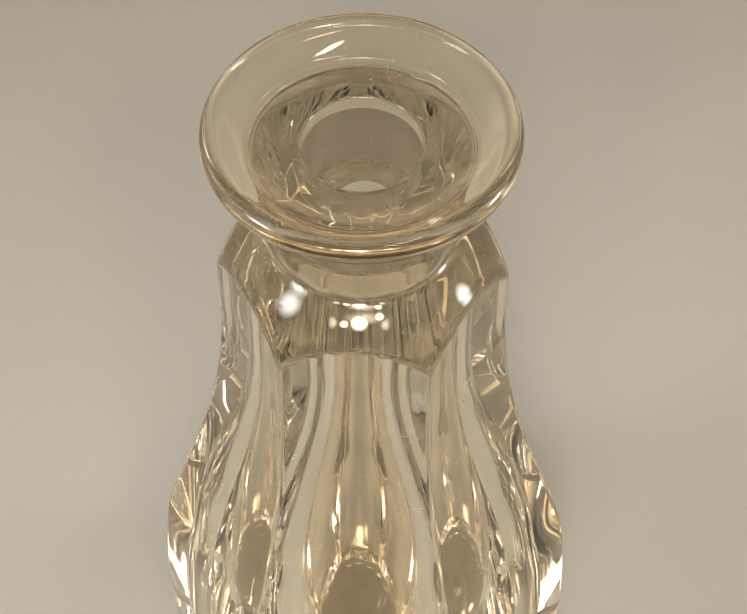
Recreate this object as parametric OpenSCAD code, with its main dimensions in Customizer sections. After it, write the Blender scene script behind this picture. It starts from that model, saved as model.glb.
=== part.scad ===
// Hexagonal cut-glass scent bottle, open, with its ground-glass stopper lying in front of it.
// Millimetres, +Z up. The origin is the middle of the face that the bottle stands on,
// and one of the six flat panels faces -Y.

/* [Bottle] */
// Height of the bottle, from its base to the top of its lip
bottle_h = 127; // [121:1:133]
// Width across the corners at the widest place, low on the body
belly_w = 58.4; // [54:0.2:62]
// Width across the corners at the waist, just under the shoulder
waist_w = 35.4; // [34:0.2:36]
// Height of the corners, where the cut panels run out into the shoulder
corner_h = 100.8; // [99:0.2:102]
// Thickness of the solid glass under the cavity
base_t = 13; // [9:0.5:16]

/* [Neck] */
// Diameter of the flared lip
lip_d = 36; // [33:0.5:40]
// Thickness of the lip at its rounded edge
lip_t = 2.9; // [2.2:0.1:3.4]
// Depth of the dish in the top of the lip
dish_depth = 3; // [2.4:0.1:3.6]
// Outer diameter of the neck at its root, where it is narrowest
neck_d = 21.2; // [19.6:0.2:22]
// Diameter of the ground bore that takes the stopper
bore_d = 13.6; // [12.8:0.1:14.4]
// Length of the ground bore
bore_len = 10.5; // [9:0.5:12]

/* [Cavity] */
// Diameter of the cavity from the ground bore to the waist
throat_d = 12.4; // [11:0.2:12.6]
// Diameter of the cavity at its widest place
well_d = 33; // [28:0.5:34]

/* [Stopper] */
// Gap between the plug and the ground bore, on the radius
plug_gap = 0.1; // [0.05:0.05:0.3]
// Width across the flats of the stopper's head
head_w = 25; // [22:0.5:28]
// Length of the flat-sided belt round the head
belt_len = 10; // [8:0.5:14]
// Diameter of the dauber rod
dauber_d = 4.2; // [3:0.2:5]
// Length of the dauber rod below the plug
dauber_len = 46; // [30:1:60]

/* [Place beside the bottle] */
// Distance in front of the bottle at which the stopper lies
lie_front = 52; // [48:1:70]
// Turn of the lying stopper about the upright, in degrees
lie_turn = 12; // [-20:1:20]

/* [Hidden] */

glass = [0.88, 0.85, 0.78, 0.5];
rod_glass = [0.93, 0.92, 0.88, 0.6];
round_fn = 96;
panels = 6;
to_flat = cos(180 / panels);
clear = 1;

// Panels seen side on: upright under the shoulder, a long hollow curve, a straight flare,
// a tighter turn, then a slow curve that is widest at belly_h and comes in a little to the foot
waist_flat = waist_w / 2 * to_flat;
belly_flat = belly_w / 2 * to_flat;
panel_top = corner_h + 6.7;
hollow_top = corner_h - 6;
hollow_r = 118;
flare_a = 14.3;
turn_r = 42;
belly_a = 4.5;
belly_r = 240;
belly_h = 23;
foot_bevel = 1.2;
foot_a = asin((belly_h - foot_bevel) / belly_r);
foot_flat = belly_flat - belly_r * (1 - cos(foot_a));

// Shoulder: a dome of revolution that the panels cut into
dome_r = 16.85;
dome_x = 2.06;
dome_z = corner_h - 6;

// Lip and neck
neck_r = neck_d / 2;
rim_r = lip_t / 2;
rim_x = lip_d / 2 - rim_r;
rim_z = bottle_h - rim_r;
under_a = 24;
under_x = rim_x + rim_r * sin(under_a);
under_z = rim_z - rim_r * cos(under_a);
neck_flare = 2.7;
cove_r = 2.4;
root_step = 0.35;
root_z = dome_z + sqrt(dome_r * dome_r - pow(neck_r + root_step - dome_x, 2));
neck_a = atan2(neck_flare, under_z - root_z);
bore_r = bore_d / 2;
bore_top = bottle_h - dish_depth;
bore_bottom = bore_top - bore_len;
bore_bevel = 0.5;
dish_flat = bore_r + 1.2;
dish_span = rim_x - dish_flat;
dish_r = (dish_span * dish_span + dish_depth * dish_depth) / (2 * dish_depth) - rim_r;
dish_a = asin(dish_span / (dish_r + rim_r));

// Cavity
throat_r = throat_d / 2;
well_r = well_d / 2;
ledge_h = 1.4;
flare_top = 92;
flare_bottom = 38;
well_round = 6;

// Stopper, standing with its seat at z = 0 and its plug below
plug_r = bore_r - plug_gap;
plug_len = 10;
plug_bevel = 0.6;
collar_r = 7.6;
collar_h = 1.8;
under_h = 5.2;
head_corner = head_w / 2 / to_flat;
cap_h = 7.5;
cap_r = (head_corner * head_corner + cap_h * cap_h) / (2 * cap_h);
belt_z = collar_h + under_h;
cap_z = belt_z + belt_len;

// Dauber, cemented into a blind socket in the plug
socket_len = 6;
cement_gap = 0.05;
tip_r = dauber_d / 2 + 0.5;
shank_r = dauber_d / 2 - 0.4;

// Points on an arc about [x, z], from angle a0 to a1 in n steps
function arc(x, z, r, a0, a1, n) =
    [for (i = [0:n]) let (a = a0 + (a1 - a0) * i / n) [x + r * cos(a), z + r * sin(a)]];

// Smooth step from 0 to 1
function ease(t) = (1 - cos(180 * t)) / 2;

// Closed outline made of half an outline and its mirror image
function both_sides(half) =
    let (last = len(half) - 1)
    concat(half, [for (i = [0:last]) [-half[last - i][0], half[last - i][1]]]);

// One panel seen side on, from the top down
function panel_outline() =
    let (hollow = arc(waist_flat + hollow_r, hollow_top, hollow_r, 180, 180 + flare_a, 14),
         belly = arc(belly_flat - belly_r, belly_h, belly_r, belly_a, -foot_a, 8),
         turn_x = belly[0][0] - turn_r * cos(belly_a),
         turn_z = belly[0][1] - turn_r * sin(belly_a),
         turn = arc(turn_x, turn_z, turn_r, flare_a, belly_a, 6))
    concat([[lip_d, bottle_h + clear], [lip_d, panel_top], [waist_flat, panel_top]],
           hollow,
           [for (i = [0:5]) turn[i]],
           belly,
           [[foot_flat - foot_bevel, 0]]);

// A six-sided solid between three pairs of opposite panels
module six_panels(half, width) {
    intersection_for (i = [0:panels / 2 - 1])
        rotate([0, 0, i * 360 / panels])
            rotate([90, 0, 0])
                linear_extrude(height = width, center = true)
                    polygon(both_sides(half));
}

// The round blank that the bottle's panels are cut from, with its dished lip
module blank() {
    lean = tan(neck_a);
    slope = tan(under_a);
    rise = under_z - under_x * slope - cove_r / cos(under_a);
    reach = neck_r + cove_r * cos(neck_a) + lean * (rise + cove_r * sin(neck_a) - root_z);
    cove_x = reach / (1 - lean * slope);
    cove_z = rise + cove_x * slope;
    root_a = atan2(root_z - dome_z, neck_r + root_step - dome_x);
    rotate_extrude($fn = round_fn)
        polygon(concat(
            [[0, 0], [0, bore_top]],
            arc(dish_flat, bore_top + dish_r, dish_r, -90, -90 + dish_a, 5),
            arc(rim_x, rim_z, rim_r, 90 + dish_a, -90 + under_a, 8),
            arc(cove_x, cove_z, cove_r, 90 + under_a, 180 - neck_a, 5),
            [[neck_r + lean * root_step, root_z + root_step]],
            arc(dome_x, dome_z, dome_r, root_a, 0, 9),
            [[dome_x + dome_r, dome_z - clear], [belly_w, dome_z - clear], [belly_w, 0]]));
}

// Everything that is air inside the bottle: the ground bore, the throat and the well
module cavity() {
    rotate_extrude($fn = round_fn)
        polygon(concat(
            [[0, bottle_h + clear], [bore_r + bore_bevel, bottle_h + clear],
             [bore_r + bore_bevel, bore_top], [bore_r, bore_top - bore_bevel],
             [bore_r, bore_bottom], [throat_r, bore_bottom - ledge_h]],
            [for (i = [0:12]) [throat_r + (well_r - throat_r) * ease(i / 12),
                               flare_top + (flare_bottom - flare_top) * i / 12]],
            arc(well_r - well_round, base_t + well_round, well_round, 0, -90, 5),
            [[0, base_t]]));
}

module bottle() {
    color(glass)
        difference() {
            intersection() {
                blank();
                rotate([0, 0, 180 / panels]) six_panels(panel_outline(), 2 * belly_w);
            }
            cavity();
        }
}

// Lays an upright stopper down on one of its flats, in front of the bottle
module lay_down() {
    middle = (cap_z + cap_h - plug_len - dauber_len) / 2;
    translate([0, -lie_front, head_w / 2])
        rotate([0, 0, lie_turn])
            translate([-middle, 0, 0])
                rotate([0, 90, 0])
                    children();
}

// Domed head with six flats, a collar, and the ground plug with its socket
module stopper() {
    head_half = [[head_w / 2, cap_z + cap_h + clear], [head_w / 2, -plug_len - clear]];
    color(glass) lay_down() difference() {
        intersection() {
            rotate_extrude($fn = round_fn)
                polygon(concat(
                    [[0, -plug_len], [plug_r - plug_bevel, -plug_len],
                     [plug_r, -plug_len + plug_bevel], [plug_r, 0],
                     [collar_r, 0], [collar_r, collar_h], [head_corner, belt_z]],
                    arc(0, cap_z + cap_h - cap_r, cap_r, acos(head_corner / cap_r), 90, 8)));
            six_panels(head_half, 3 * head_w);
        }
        translate([0, 0, -plug_len - clear])
            cylinder(d = dauber_d + 2 * cement_gap, h = socket_len + clear, $fn = round_fn);
    }
}

// Glass rod that carries scent to the skin, with a slim shank and a round tip
module dauber() {
    tip_z = -plug_len - dauber_len + tip_r;
    color(rod_glass) lay_down()
        rotate_extrude($fn = 48)
            polygon(concat(
                [[0, -plug_len + socket_len], [dauber_d / 2, -plug_len + socket_len],
                 [dauber_d / 2, -plug_len - 2], [shank_r, tip_z + 8]],
                arc(0, tip_z, tip_r, 50, -90, 7)));
}

bottle();
stopper();
dauber();
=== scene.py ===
import math

import bpy
import numpy as np
from mathutils import Matrix, Vector


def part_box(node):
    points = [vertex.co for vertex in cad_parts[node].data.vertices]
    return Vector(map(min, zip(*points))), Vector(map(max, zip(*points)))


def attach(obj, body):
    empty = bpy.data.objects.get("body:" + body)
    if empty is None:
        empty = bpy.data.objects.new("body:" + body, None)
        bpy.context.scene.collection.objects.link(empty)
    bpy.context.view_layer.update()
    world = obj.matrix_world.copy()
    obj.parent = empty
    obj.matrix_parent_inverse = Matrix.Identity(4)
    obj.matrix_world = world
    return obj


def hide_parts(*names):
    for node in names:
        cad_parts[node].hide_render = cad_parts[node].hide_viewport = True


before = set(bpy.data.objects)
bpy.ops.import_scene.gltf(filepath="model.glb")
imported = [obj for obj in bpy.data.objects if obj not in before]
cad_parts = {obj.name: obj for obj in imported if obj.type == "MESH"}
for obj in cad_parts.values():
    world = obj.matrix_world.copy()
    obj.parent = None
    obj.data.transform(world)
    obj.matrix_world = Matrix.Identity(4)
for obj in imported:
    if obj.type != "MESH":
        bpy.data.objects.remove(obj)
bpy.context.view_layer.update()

# Hexagonal cut-glass scent bottle. The CAD solids fix every size. The meshes here repeat the
# same design with rounded cut edges, polished and ground surfaces and slightly uneven glass.
# Lengths in the shape functions are millimetres.
MM = 0.001
TAU = 2 * math.pi

# ---------------------------------------------------------------- driving sizes, as in the CAD
bottle_low, bottle_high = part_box("bottle")
BOTTLE_H = bottle_high.z / MM
BELLY_CORNER = bottle_high.x / MM
WAIST_CORNER = 17.7
CORNER_H = 100.8
BASE_T = 13.0
LIP_R = 18.0
LIP_T = 2.9
DISH_DEPTH = 3.0
NECK_R = 10.6
BORE_R = 6.8
BORE_LEN = 10.5
THROAT_R = 6.2
WELL_R = 16.5

PANELS = 6
TO_FLAT = math.cos(math.pi / PANELS)
WAIST_FLAT = WAIST_CORNER * TO_FLAT
BELLY_FLAT = BELLY_CORNER * TO_FLAT

# panel curve, seen side on
HOLLOW_TOP = CORNER_H - 6
HOLLOW_R = 118.0
FLARE_A = math.radians(14.3)
TURN_R = 42.0
BELLY_A = math.radians(4.5)
BELLY_R = 240.0
BELLY_H = 23.0
FOOT_ROUND = 1.2

# shoulder, neck, lip
DOME_R = 16.85
DOME_X = 2.06
DOME_Z = CORNER_H - 6
RIM_R = LIP_T / 2
RIM_X = LIP_R - RIM_R
RIM_Z = BOTTLE_H - RIM_R
UNDER_A = math.radians(24)
UNDER_X = RIM_X + RIM_R * math.sin(UNDER_A)
UNDER_Z = RIM_Z - RIM_R * math.cos(UNDER_A)
NECK_FLARE = 2.7
COVE_R = 2.4
ROOT_STEP = 0.35
ROOT_Z = DOME_Z + math.sqrt(DOME_R ** 2 - (NECK_R + ROOT_STEP - DOME_X) ** 2)
NECK_A = math.atan2(NECK_FLARE, UNDER_Z - ROOT_Z)
BORE_TOP = BOTTLE_H - DISH_DEPTH
BORE_BOTTOM = BORE_TOP - BORE_LEN
BORE_EDGE = 0.5
DISH_FLAT = BORE_R + 1.2
DISH_SPAN = RIM_X - DISH_FLAT
DISH_R = (DISH_SPAN ** 2 + DISH_DEPTH ** 2) / (2 * DISH_DEPTH) - RIM_R
DISH_A = math.asin(DISH_SPAN / (DISH_R + RIM_R))

# cavity
LEDGE_H = 1.4
FLARE_TOP = 92.0
FLARE_BOTTOM = 38.0
WELL_ROUND = 6.0

# stopper, standing with its seat at z = 0 and its plug below, and the dauber in its plug
PLUG_R = 6.7
PLUG_LEN = 10.0
PLUG_BEVEL = 0.6
GROUND_END = -0.4
COLLAR_R = 7.6
COLLAR_H = 1.8
HEAD_FLAT = 12.5
HEAD_CORNER = HEAD_FLAT / TO_FLAT
BELT_Z = 7.0
CAP_Z = 17.0
CAP_H = 7.5
CAP_R = (HEAD_CORNER ** 2 + CAP_H ** 2) / (2 * CAP_H)
DAUBER_R = 2.1
DAUBER_LEN = 46.0
SOCKET_R = DAUBER_R + 0.05
SOCKET_LEN = 6.0
TIP_R = DAUBER_R + 0.5
SHANK_R = DAUBER_R - 0.4
LIE_FRONT = 52.0
LIE_TURN = math.radians(12)

# softened cut edges
RIDGE_ROUND = 0.9
ARCH_ROUND = 0.35
ROOT_ROUND = 1.2
HEAD_ROUND = 0.6

# depth of the glass's slow unevenness, and the seed of each skin's own pattern
BODY_WAVES, BODY_SEED = 0.06, 3
CAVITY_WAVES, CAVITY_SEED = 0.1, 5
HEAD_WAVES, HEAD_SEED = 0.05, 9
ROD_WAVES, ROD_SEED = 0.06, 12

# how far the small pieces stay inside the CAD's own skin
HAIR = 0.045


def arc(x, z, r, a0, a1, n):
    """Points on an arc about (x, z) from angle a0 to a1, both ends included."""
    a = np.linspace(a0, a1, n + 1)
    return np.stack([x + r * np.cos(a), z + r * np.sin(a)], 1)


def smooth_min(a, b, k):
    """The smaller of a and b, with the crossing rounded over a width of k."""
    h = np.clip(0.5 + 0.5 * (b - a) / k, 0, 1)
    return b + (a - b) * h - k * h * (1 - h)


def ease(t):
    """Smooth step from 0 to 1."""
    return (1 - np.cos(np.pi * np.clip(t, 0, 1))) / 2


# ---------------------------------------------------------------- the bottle's outer skin
def panel_curve():
    """Fine table of the panel's distance from the axis against height, eased where arcs meet."""
    step, margin, blur = 0.1, 10, 1.0
    z = np.arange(-margin, BOTTLE_H + margin, step)
    hollow_end = HOLLOW_TOP - HOLLOW_R * math.sin(FLARE_A)
    belly_x = BELLY_FLAT - BELLY_R
    belly_end = BELLY_H + BELLY_R * math.sin(BELLY_A)
    turn_x = belly_x + BELLY_R * math.cos(BELLY_A) - TURN_R * math.cos(BELLY_A)
    turn_z = belly_end - TURN_R * math.sin(BELLY_A)
    turn_end = turn_z + TURN_R * math.sin(FLARE_A)
    flat = np.full_like(z, WAIST_FLAT)
    low = z < HOLLOW_TOP
    inward = np.sqrt(np.maximum(HOLLOW_R ** 2 - (HOLLOW_TOP - z[low]) ** 2, 1))
    flat[low] = WAIST_FLAT + HOLLOW_R - inward
    straight_a = WAIST_FLAT + HOLLOW_R * (1 - math.cos(FLARE_A))
    straight_b = turn_x + TURN_R * math.cos(FLARE_A)
    low = z < hollow_end
    flat[low] = np.interp(z[low], [turn_end, hollow_end], [straight_b, straight_a])
    low = z < turn_end
    flat[low] = turn_x + np.sqrt(np.maximum(TURN_R ** 2 - (z[low] - turn_z) ** 2, 1))
    low = z < belly_end
    flat[low] = belly_x + np.sqrt(BELLY_R ** 2 - (z[low] - BELLY_H) ** 2)
    reach = round(3 * blur / step)
    away = np.arange(-reach, reach + 1) * step
    weight = np.exp(-0.5 * (away / blur) ** 2)
    return z, np.convolve(flat, weight / weight.sum(), mode="same")


PANEL_Z, PANEL_FLAT = panel_curve()


def six_sided(flat, phi, edge):
    """Distance from the axis to a hexagon whose corners are rounded by edge; a flat faces -Y."""
    from_corner = (phi + math.pi / 2 + math.pi / PANELS) % (TAU / PANELS)
    from_corner = np.minimum(from_corner, TAU / PANELS - from_corner)
    straight = flat / np.cos(math.pi / PANELS - from_corner)
    middle = (flat - edge) / TO_FLAT
    inside = np.maximum(edge ** 2 - (middle * np.sin(from_corner)) ** 2, 0)
    rounded = middle * np.cos(from_corner) + np.sqrt(inside)
    touch = np.arctan2(edge * math.sin(math.pi / PANELS), middle + edge * TO_FLAT)
    return np.where(from_corner < touch, rounded, straight)


def dome(z):
    """Radius of the round shoulder at height z."""
    return DOME_X + np.sqrt(np.maximum(DOME_R ** 2 - (z - DOME_Z) ** 2, 0))


def dome_height(r):
    """Height of the round shoulder at radius r."""
    return DOME_Z + np.sqrt(np.maximum(DOME_R ** 2 - (r - DOME_X) ** 2, 0))


def outer_radius(phi, z):
    """The cut body: panels below, the round shoulder above, with softened edges between them."""
    flat = np.interp(z, PANEL_Z, PANEL_FLAT)
    body = six_sided(flat, phi, RIDGE_ROUND)
    shoulder = np.where(z > DOME_Z, dome(z), DOME_X + DOME_R + (DOME_Z - z))
    cut = smooth_min(body, shoulder, ARCH_ROUND)
    neck = NECK_R + np.maximum(z - ROOT_Z, 0) * math.tan(NECK_A)
    return -smooth_min(-cut, -neck + np.zeros_like(cut), ROOT_ROUND)


def column_angles(per_panel):
    """Angles round the bottle, closer together towards the ridges, with one on each ridge."""
    crowding = 0.82
    t = np.arange(per_panel) / per_panel
    eased = t - crowding * np.sin(TAU * t) / TAU
    start = -math.pi / 2 - math.pi / PANELS
    return np.concatenate([start + (k + eased) * TAU / PANELS for k in range(PANELS)])


def waves(phi, z, size, seed):
    """Slow unevenness of hand-worked glass, always inwards, from 0 to size."""
    rng = np.random.default_rng(seed)
    parts, usual_sum = 7, 3.2
    total = np.zeros(np.broadcast(phi, z).shape)
    for _ in range(parts):
        turns = rng.integers(1, 6)
        pitch = rng.uniform(26, 70)
        round_shift, up_shift = rng.uniform(0, TAU), rng.uniform(0, TAU)
        total = total + np.sin(turns * phi + round_shift) * np.sin(TAU * z / pitch + up_shift)
    return size * (0.5 + 0.5 * np.clip(total / usual_sum, -1, 1))


def loft(name, rows, material_of_row, materials):
    """A closed skin through rows of points: each row is (n, 3), and both ends close on a pole."""
    count = len(rows[0])
    verts = np.concatenate(rows)
    faces, slots = [], []
    for j in range(len(rows) - 1):
        a = j * count + np.arange(count)
        b = j * count + (np.arange(count) + 1) % count
        faces += np.stack([a, b, b + count, a + count], 1).tolist()
        slots += [material_of_row[j]] * count
    first, last = len(verts), len(verts) + 1
    verts = np.concatenate([verts, [rows[0].mean(0)], [rows[-1].mean(0)]])
    end = (len(rows) - 1) * count
    for i in range(count):
        faces.append([first, (i + 1) % count, i])
        slots.append(material_of_row[0])
        faces.append([last, end + i, end + (i + 1) % count])
        slots.append(material_of_row[-1])
    mesh = bpy.data.meshes.new(name)
    mesh.from_pydata((verts * MM).tolist(), [], faces)
    for m in materials:
        mesh.materials.append(m)
    mesh.polygons.foreach_set("material_index", slots)
    mesh.polygons.foreach_set("use_smooth", [True] * len(faces))
    mesh.update()
    piece = bpy.data.objects.new(name, mesh)
    bpy.context.scene.collection.objects.link(piece)
    return piece


def ring(phi, r, z):
    """Points at the angles phi, at radius r and height z."""
    r = np.broadcast_to(r, phi.shape)
    z = np.broadcast_to(z, phi.shape)
    return np.stack([r * np.cos(phi), r * np.sin(phi), z], 1)


def between(a, b, n):
    """n values from a to b, without a."""
    return np.linspace(a, b, n + 1)[1:]


def neck_and_lip(low):
    """Outline from height low on the neck, by the cove, rim and dish, to the bore's edge."""
    lean, slope = math.tan(NECK_A), math.tan(UNDER_A)
    rise = UNDER_Z - UNDER_X * slope - COVE_R / math.cos(UNDER_A)
    reach = NECK_R + COVE_R * math.cos(NECK_A) + lean * (rise + COVE_R * math.sin(NECK_A) - ROOT_Z)
    cove_x = reach / (1 - lean * slope)
    cove_z = rise + cove_x * slope
    cove_low = cove_z + COVE_R * math.sin(NECK_A)
    quarter = math.pi / 2
    outline = [[NECK_R + (z - ROOT_Z) * lean, z] for z in between(low, cove_low, 6)[:-1]]
    outline += arc(cove_x, cove_z, COVE_R, math.pi - NECK_A, quarter + UNDER_A, 9).tolist()
    end_x, end_z = outline[-1]
    outline += [[end_x + (UNDER_X - end_x) * t, end_z + (UNDER_Z - end_z) * t]
                for t in between(0, 1, 6)[:-1]]
    outline += arc(RIM_X, RIM_Z, RIM_R, -quarter + UNDER_A, quarter + DISH_A, 18).tolist()
    dish = arc(DISH_FLAT, BORE_TOP + DISH_R, DISH_R, -quarter + DISH_A, -quarter, 16).tolist()
    edge = arc(BORE_R + BORE_EDGE, BORE_TOP - BORE_EDGE, BORE_EDGE, quarter, math.pi, 6).tolist()
    return outline + dish[1:] + edge


def make_bottle(crystal, ground):
    phi = column_angles(36)
    rows, slots = [], []

    def add(r, z, slot=0):
        rows.append(ring(phi, r, z))
        slots.append(slot)

    # the base and its rounded foot
    foot = outer_radius(phi, np.full_like(phi, FOOT_ROUND))
    for f in (0.15, 0.3, 0.45, 0.6, 0.75, 0.88, 0.95):
        add((foot - FOOT_ROUND) * f, 0.0)
    for a in np.radians([0, 15, 35, 55, 75, 90]):
        add(foot - FOOT_ROUND * (1 - math.sin(a)), FOOT_ROUND * (1 - math.cos(a)))
    # the panels, in rows that rise to the arches, then close rows over the arches' edges
    arch = dome_height(six_sided(np.full_like(phi, WAIST_FLAT), phi, RIDGE_ROUND))
    edge = 1.0
    heights = [FOOT_ROUND + (arch - edge - FOOT_ROUND) * t for t in between(0, 1, 64)]
    heights += [arch + d for d in (-0.7, -0.45, -0.25, -0.08, 0.08, 0.25, 0.45, 0.7, edge)]
    for z in heights:
        add(outer_radius(phi, z) - waves(phi, z, BODY_WAVES, BODY_SEED), z)
    # the round shoulder, the neck and the lip
    top = DOME_Z + DOME_R - 0.25
    for t in between(0, 1, 22):
        z = arch + edge + (top - arch - edge) * t
        add(outer_radius(phi, z), z)
    for r, z in neck_and_lip(top):
        add(r, z)
    # the ground bore and the ledge under it
    for z in between(BORE_TOP - BORE_EDGE, BORE_BOTTOM, 8):
        add(BORE_R, z, 1)
    for t in between(0, 1, 6):
        add(BORE_R + (THROAT_R - BORE_R) * ease(t), BORE_BOTTOM - LEDGE_H * t)
    # the throat and the well; their unevenness dies out towards the ledge and the well's floor
    well_low, throat_top = BASE_T + WELL_ROUND, BORE_BOTTOM - LEDGE_H
    calm_low, calm_high = 12, 6
    for z in (*between(throat_top, FLARE_TOP, 16), *between(FLARE_TOP, FLARE_BOTTOM, 48),
              *between(FLARE_BOTTOM, well_low, 14)[:-1]):
        r = THROAT_R + (WELL_R - THROAT_R) * ease((FLARE_TOP - z) / (FLARE_TOP - FLARE_BOTTOM))
        calm = min(1, (z - well_low) / calm_low, (throat_top - z) / calm_high)
        add(r + (waves(phi, z, CAVITY_WAVES, CAVITY_SEED) - CAVITY_WAVES / 2) * calm, z)
    for r, z in arc(WELL_R - WELL_ROUND, well_low, WELL_ROUND, 0, -math.pi / 2, 14):
        add(r, z)
    for f in (0.75, 0.5, 0.25):
        add((WELL_R - WELL_ROUND) * f, BASE_T)
    piece = loft("crystal_bottle", rows, slots, [crystal, ground])
    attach(piece, "bottle")
    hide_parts("bottle")


# ---------------------------------------------------------------- stopper and dauber
def lay_down(points):
    """Lays upright stopper points down on a flat, in front of the bottle, as the CAD does."""
    middle = (CAP_Z + CAP_H - PLUG_LEN - DAUBER_LEN) / 2
    along, across, up = points[:, 2] - middle, points[:, 1], -points[:, 0]
    x = along * math.cos(LIE_TURN) - across * math.sin(LIE_TURN)
    y = along * math.sin(LIE_TURN) + across * math.cos(LIE_TURN)
    return np.stack([x, y - LIE_FRONT, up + HEAD_FLAT], 1)


def eased_corners(outline, easing):
    """An outline of (r, z) points with each inner corner softened over its easing length."""
    steps, most = 4, 0.45
    out = [outline[0]]
    for k in range(1, len(outline) - 1):
        before, here, after = (np.array(p, float) for p in outline[k - 1:k + 2])
        reach = easing[k]
        a = here + (before - here) * min(most, reach / max(np.linalg.norm(before - here), 1e-6))
        b = here + (after - here) * min(most, reach / max(np.linalg.norm(after - here), 1e-6))
        for t in np.linspace(0, 1, steps + 1):
            out.append(((1 - t) ** 2 * a + 2 * t * (1 - t) * here + t ** 2 * b).tolist())
    out.append(outline[-1])
    return out


def cap_height(r):
    """Height of the head's domed top at radius r."""
    return CAP_Z + CAP_H - CAP_R + np.sqrt(CAP_R ** 2 - r ** 2)


def column_outline(reach):
    """One side of the stopper, from the socket's blind end round the plug and head to the top,
    where the head's flat stands at reach from the axis."""
    low = COLLAR_H + (BELT_Z - COLLAR_H) * (reach - COLLAR_R) / (HEAD_CORNER - COLLAR_R)
    socket_top = SOCKET_LEN - PLUG_LEN
    corners = [[0.01, socket_top], [SOCKET_R, socket_top], [SOCKET_R, -PLUG_LEN],
               [PLUG_R - PLUG_BEVEL, -PLUG_LEN], [PLUG_R, PLUG_BEVEL - PLUG_LEN],
               [PLUG_R, GROUND_END], [PLUG_R, 0], [COLLAR_R, 0], [COLLAR_R, COLLAR_H],
               [reach, low], [reach, cap_height(reach)]]
    easing = [0, 0.2, 0.15, 0.2, 0.3, 0.05, 0.15, 0.35, 0.35, 0.45, 0.45]
    cap = [[reach * f, cap_height(reach * f)] for f in np.linspace(1, 0.02, 18)]
    side = eased_corners(corners + [cap[1]], easing)
    return side[:-1] + cap[2:]


def make_stopper(crystal, ground):
    flat_down = math.pi / 2
    phi = column_angles(20)
    reach = six_sided(HEAD_FLAT, phi, HEAD_ROUND)
    outlines = np.array([column_outline(r) for r in reach])
    calm_r, rise = 6, 4
    rows = []
    for j in range(outlines.shape[1]):
        r, z = outlines[:, j, 0], outlines[:, j, 1]
        on_head = np.clip((z - BELT_Z) / rise, 0, 1)
        inset = HAIR + waves(phi, z, HEAD_WAVES, HEAD_SEED) * on_head
        r = r - inset * np.clip(r / calm_r, 0, 1)
        rows.append(lay_down(ring(phi + flat_down, r, np.minimum(z, CAP_Z + CAP_H - HAIR))))
    is_plug = (outlines[0, :, 1] < GROUND_END + 0.1) & (outlines[0, :, 0] > PLUG_R - 0.02)
    piece = loft("stopper_cut_head", rows, is_plug.astype(int).tolist(), [crystal, ground])
    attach(piece, "stopper")
    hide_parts("stopper")


def make_dauber(rod_glass):
    phi = np.linspace(0, TAU, 32, endpoint=False)
    top, waist = SOCKET_LEN - PLUG_LEN, -PLUG_LEN - 2
    tip_r = TIP_R - 2 * HAIR
    tip_z = TIP_R - PLUG_LEN - DAUBER_LEN
    swell_len, touch = 8, math.radians(50)
    neck_z = tip_z + swell_len
    edge = 0.5
    outline = [[0.05, top], [DAUBER_R - 0.3, top], [DAUBER_R - 0.05, top - 0.2],
               [DAUBER_R, top - edge]]
    outline += [[DAUBER_R, z] for z in between(top - edge, waist, 8)]
    for t in between(0, 1, 30):
        outline.append([DAUBER_R + (SHANK_R - DAUBER_R) * ease(t), waist + (neck_z - waist) * t])
    swell_x, swell_z = tip_r * math.cos(touch), tip_z + tip_r * math.sin(touch)
    for t in between(0, 1, 8):
        x = SHANK_R + (swell_x - SHANK_R) * ease(t) * t
        straight_x = SHANK_R + (swell_x - SHANK_R) * t
        outline.append([min(x, straight_x), neck_z + (swell_z - neck_z) * t])
    outline += arc(0, tip_z, tip_r, touch, -math.pi / 2 + 0.03, 16).tolist()[1:]
    rows = []
    for r, z in outline:
        in_socket = z > top - 1
        drawn = waves(phi, np.full_like(phi, z * 1.4), ROD_WAVES, ROD_SEED) * min(1, r / 2)
        rows.append(lay_down(ring(phi, r if in_socket else r - drawn, z)))
    rows.reverse()
    piece = loft("dauber_rod", rows, [0] * len(rows), [rod_glass])
    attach(piece, "stopper")
    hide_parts("dauber")


# ---------------------------------------------------------------- materials
CRYSTAL_IOR = 1.53
WARM_CLEAR = (0.99, 0.92, 0.785)
# frosted seat glass: its brown tint is partly the glass's own colour and partly painted shade,
# darkened so the bore looks as dark as shade seen through it; the stopper's plug shares it
GROUND_TINT_AND_SHADE = (0.36, 0.28, 0.21)
ROD_CLEAR = (0.97, 0.96, 0.92)
PAPER_TONES = ((0.3, (0.40, 0.42, 0.45)), (0.7, (0.43, 0.45, 0.48)))


def node_material(name):
    """A new material, its node tree and its shader."""
    m = bpy.data.materials.new(name)
    m.use_nodes = True
    nt = m.node_tree
    return m, nt, nt.nodes["Principled BSDF"]


def noise_lines(nt, place, turn, stretch, scale, width):
    """Thin broken lines, 0 to 1: where a stretched noise passes its middle value."""
    mapping = nt.nodes.new("ShaderNodeMapping")
    mapping.inputs["Rotation"].default_value = turn
    mapping.inputs["Scale"].default_value = stretch
    noise = nt.nodes.new("ShaderNodeTexNoise")
    noise.inputs["Scale"].default_value = scale
    noise.inputs["Detail"].default_value = 3
    off = math_node(nt, "SUBTRACT", noise.outputs["Fac"], 0.5)
    size = math_node(nt, "ABSOLUTE", off)
    nt.links.new(place.outputs["Object"], mapping.inputs["Vector"])
    nt.links.new(mapping.outputs["Vector"], noise.inputs["Vector"])
    return map_range(nt, size, (0, width), (1, 0))


def math_node(nt, operation, first, second=None):
    """A Math node on sockets or plain numbers."""
    node = nt.nodes.new("ShaderNodeMath")
    node.operation = operation
    for socket, value in zip(node.inputs, (first, second)):
        if isinstance(value, (int, float)):
            socket.default_value = value
        elif value is not None:
            nt.links.new(value, socket)
    return node.outputs[0]


def map_range(nt, value, source, target):
    """Rescales value from the range source to the range target."""
    node = nt.nodes.new("ShaderNodeMapRange")
    node.inputs["From Min"].default_value, node.inputs["From Max"].default_value = source
    node.inputs["To Min"].default_value, node.inputs["To Max"].default_value = target
    nt.links.new(value, node.inputs["Value"])
    return node.outputs["Result"]


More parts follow.
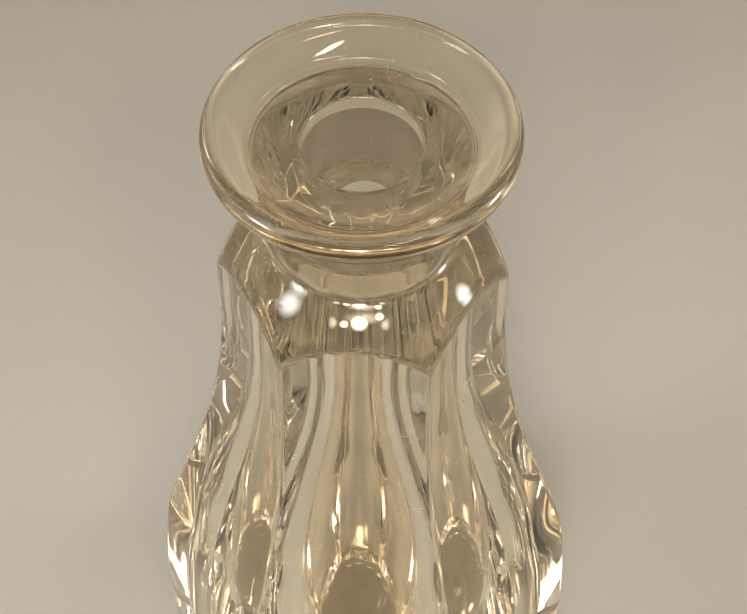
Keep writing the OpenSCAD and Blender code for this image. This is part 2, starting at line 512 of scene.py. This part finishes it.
def noise_value(nt, place, scale, detail, distortion=0.0, space="Object"):
    """Noise, 0 to 1, in the coordinates of that space."""
    noise = nt.nodes.new("ShaderNodeTexNoise")
    noise.inputs["Scale"].default_value = scale
    noise.inputs["Detail"].default_value = detail
    noise.inputs["Distortion"].default_value = distortion
    nt.links.new(place.outputs[space], noise.inputs["Vector"])
    return noise.outputs["Fac"]


def fill_ramp(nt, fac, stops):
    """A colour ramp over the socket fac, with a (position, colour) pair for each stop."""
    ramp = nt.nodes.new("ShaderNodeValToRGB")
    elements = ramp.color_ramp.elements
    while len(elements) < len(stops):
        elements.new(0.5)
    for element, (at, colour) in zip(elements, stops):
        element.position = at
        element.color = (*colour, 1)
    nt.links.new(fac, ramp.inputs["Fac"])
    return ramp.outputs["Color"]


def add_bump(nt, bsdf, height, strength, depth):
    """Bump on the shader from the socket height; depth is in metres."""
    bumper = nt.nodes.new("ShaderNodeBump")
    bumper.inputs["Strength"].default_value = strength
    bumper.inputs["Distance"].default_value = depth
    nt.links.new(height, bumper.inputs["Height"])
    nt.links.new(bumper.outputs["Normal"], bsdf.inputs["Normal"])


def glass_material(name, colour, polish, haze, specks, grain=0.0):
    """Glass. Its roughness runs from polish to polish + haze in slow wiped patches. Dried specks
    and hair scratches add to it, and grain is the strength of a fine ground texture."""
    m, nt, bsdf = node_material(name)
    bsdf.inputs["Base Color"].default_value = (*colour, 1)
    bsdf.inputs["IOR"].default_value = CRYSTAL_IOR
    bsdf.inputs["Transmission Weight"].default_value = 1.0
    place = nt.nodes.new("ShaderNodeTexCoord")
    wiped = noise_value(nt, place, 70, 4, 0.6)
    patches = map_range(nt, wiped, (0.5, 0.72), (polish, polish + haze))
    dust = map_range(nt, noise_value(nt, place, 1500, 2), (0.69, 0.73), (0, specks))
    where = map_range(nt, noise_value(nt, place, 110, 2), (0.5, 0.62), (0, 1))
    dust = math_node(nt, "MULTIPLY", dust, where)
    lines = noise_lines(nt, place, (0.3, 0.5, 0.2), (14, 1, 2), 60, 0.006)
    crossed = noise_lines(nt, place, (0.2, -0.4, 0.9), (2, 16, 1), 50, 0.005)
    scratches = math_node(nt, "MULTIPLY", math_node(nt, "MAXIMUM", lines, crossed), where)
    scratches = math_node(nt, "MULTIPLY", scratches, specks)
    rough = math_node(nt, "ADD", patches, math_node(nt, "MAXIMUM", dust, scratches))
    nt.links.new(rough, bsdf.inputs["Roughness"])
    if grain:
        add_bump(nt, bsdf, noise_value(nt, place, 2600, 3), grain, 0.0002)
    return m


def floor_material():
    """Pale matt paper, with a faint mottle and tooth."""
    m, nt, bsdf = node_material("pale_floor")
    place = nt.nodes.new("ShaderNodeTexCoord")
    mottle = fill_ramp(nt, noise_value(nt, place, 9, 5), PAPER_TONES)
    nt.links.new(mottle, bsdf.inputs["Base Color"])
    rough = map_range(nt, noise_value(nt, place, 25, 3), (0.3, 0.7), (0.72, 0.85))
    nt.links.new(rough, bsdf.inputs["Roughness"])
    add_bump(nt, bsdf, noise_value(nt, place, 700, 3), 0.12, 0.0004)
    return m


# ---------------------------------------------------------------- stage
# floor, in metres: its gap under the base keeps the two faces apart
FLOOR_SIZE = 4
FLOOR_GAP = 0.0003
# height that the lights and lamps point at, in metres
TARGET_Z = 0.089
# the room's colour against the height of the direction, from the horizon (0) to straight up (1)
ROOM_TONES = ((0.0, (0.34, 0.27, 0.17)), (0.09, (0.38, 0.29, 0.18)), (0.15, (1.0, 0.72, 0.38)),
              (0.34, (0.95, 0.70, 0.40)), (0.52, (0.22, 0.16, 0.10)), (1.0, (0.16, 0.13, 0.10)))
# camera: place in millimetres, angle below the horizon and turn from +Y in radians, lens and
# sensor width in millimetres
CAMERA_PLACE = (10.3, -153.5, 298.6)
CAMERA_PITCH = 0.9271
CAMERA_YAW = 0.0586
CAMERA_FOCAL = 100.66
SENSOR_WIDTH = 36


def make_floor():
    bpy.ops.mesh.primitive_plane_add(size=FLOOR_SIZE, location=(0, 0, -FLOOR_GAP))
    floor = bpy.context.object
    floor.name = "floor"
    floor.data.materials.append(floor_material())


def area_light(name, place, target, size, power, colour, beam):
    """A softbox with a grid: brightest in the middle, fading out to its edges, and lighting only
    within beam degrees."""
    core, edge, peak = 0.22, 0.5, 2.2
    data = bpy.data.lights.new(name, "AREA")
    data.shape = "RECTANGLE"
    data.size, data.size_y = size
    data.energy = power
    data.spread = math.radians(beam)
    data.color = colour
    data.use_nodes = True
    nt = data.node_tree
    face = nt.nodes.new("ShaderNodeNewGeometry")
    offset = nt.nodes.new("ShaderNodeVectorMath")
    offset.operation = "DISTANCE"
    offset.inputs[1].default_value = (0.5, 0.5, 0)
    nt.links.new(face.outputs["Parametric"], offset.inputs[0])
    fade = map_range(nt, offset.outputs["Value"], (core, edge), (peak, 0))
    nt.links.new(fade, nt.nodes["Emission"].inputs["Strength"])
    lamp = bpy.data.objects.new(name, data)
    lamp.location = place
    lamp.rotation_euler = (Vector(target) - Vector(place)).to_track_quat("-Z", "Y").to_euler()
    bpy.context.scene.collection.objects.link(lamp)


def aim(azimuth, elevation, distance):
    """A place that far from the lights' target. Azimuth 0 is the front, -Y, and grows to +X."""
    az, el = math.radians(azimuth), math.radians(elevation)
    flat = distance * math.cos(el)
    return flat * math.sin(az), -flat * math.cos(az), TARGET_Z + distance * math.sin(el)


def make_lights():
    for name, place, size, power, colour in (
            ("window", aim(-66, 34, 0.9), (0.3, 0.4), 0.13, (1, 0.98, 0.95)),
            ("side_card", aim(92, 16, 0.8), (0.2, 0.3), 0.075, (1, 0.98, 0.94)),
            ("lamp_front_right", aim(21, 50, 0.9), (0.1, 0.1), 0.034, (1, 0.86, 0.6)),
            ("lamp_front_left", aim(-14, 44, 0.9), (0.1, 0.1), 0.034, (1, 0.86, 0.6)),
            ("soft_box_front", aim(4, 50, 0.9), (0.5, 0.16), 0.06, (1, 0.84, 0.56)),
            ("lamp_above", aim(60, 76, 0.9), (0.3, 0.06), 0.046, (1, 0.88, 0.62))):
        area_light(name, place, (0, 0, TARGET_Z), size, power, colour, 36)
    # warm light on the table from the front, so that the bottle's shadow falls behind it
    for name, x, y, power in (("wash_front", 0.0, -0.03, 0.11), ("wash_left", -0.19, 0.1, 0.085),
                              ("wash_right", 0.19, 0.1, 0.085)):
        area_light(name, (x * 1.4, -0.5, 0.6), (x, y, 0), (0.16, 0.16), power, (1, 0.86, 0.66), 32)


def make_world():
    """A dim warm room: a brighter band above the horizon, patchy all round, and dark overhead."""
    world = bpy.data.worlds.new("studio")
    world.use_nodes = True
    nt = world.node_tree
    background = nt.nodes["Background"]
    place = nt.nodes.new("ShaderNodeTexCoord")
    split = nt.nodes.new("ShaderNodeSeparateXYZ")
    nt.links.new(place.outputs["Generated"], split.inputs["Vector"])
    nt.links.new(fill_ramp(nt, split.outputs["Z"], ROOM_TONES), background.inputs["Color"])
    patchy = noise_value(nt, place, 1.8, 1.5, 0.8, "Generated")
    strength = map_range(nt, patchy, (0.44, 0.58), (0.1, 1.8))
    nt.links.new(strength, background.inputs["Strength"])
    bpy.context.scene.world = world


def make_camera():
    data = bpy.data.cameras.new("camera")
    data.sensor_width = SENSOR_WIDTH
    data.lens = CAMERA_FOCAL
    data.clip_start = 0.01
    camera = bpy.data.objects.new("camera", data)
    yaw = Matrix.Rotation(CAMERA_YAW, 4, "Z")
    tilt = Matrix.Rotation(math.pi / 2 - CAMERA_PITCH, 4, "X")
    camera.matrix_world = Matrix.Translation(Vector(CAMERA_PLACE) * MM) @ yaw @ tilt
    bpy.context.scene.collection.objects.link(camera)
    bpy.context.scene.camera = camera


def light_paths():
    """Enough bounces for light to cross every wall of the glass."""
    cycles = bpy.context.scene.cycles
    cycles.max_bounces = 24
    cycles.transmission_bounces = 20
    cycles.glossy_bounces = 10
    cycles.use_denoising = True
    bpy.context.scene.view_settings.view_transform = "Standard"


crystal = glass_material("crystal", WARM_CLEAR, polish=0.0, haze=0.03, specks=0.3)
# the ground seat's dark tint is partly painted shade for the bore
ground = glass_material("ground_seat", GROUND_TINT_AND_SHADE, polish=0.26, haze=0.1, specks=0.1, grain=0.1)
rod_glass = glass_material("rod_glass", ROD_CLEAR, polish=0.0, haze=0.02, specks=0.2)
make_bottle(crystal, ground)
make_stopper(crystal, ground)
make_dauber(rod_glass)
make_floor()
make_lights()
make_world()
make_camera()
light_paths()
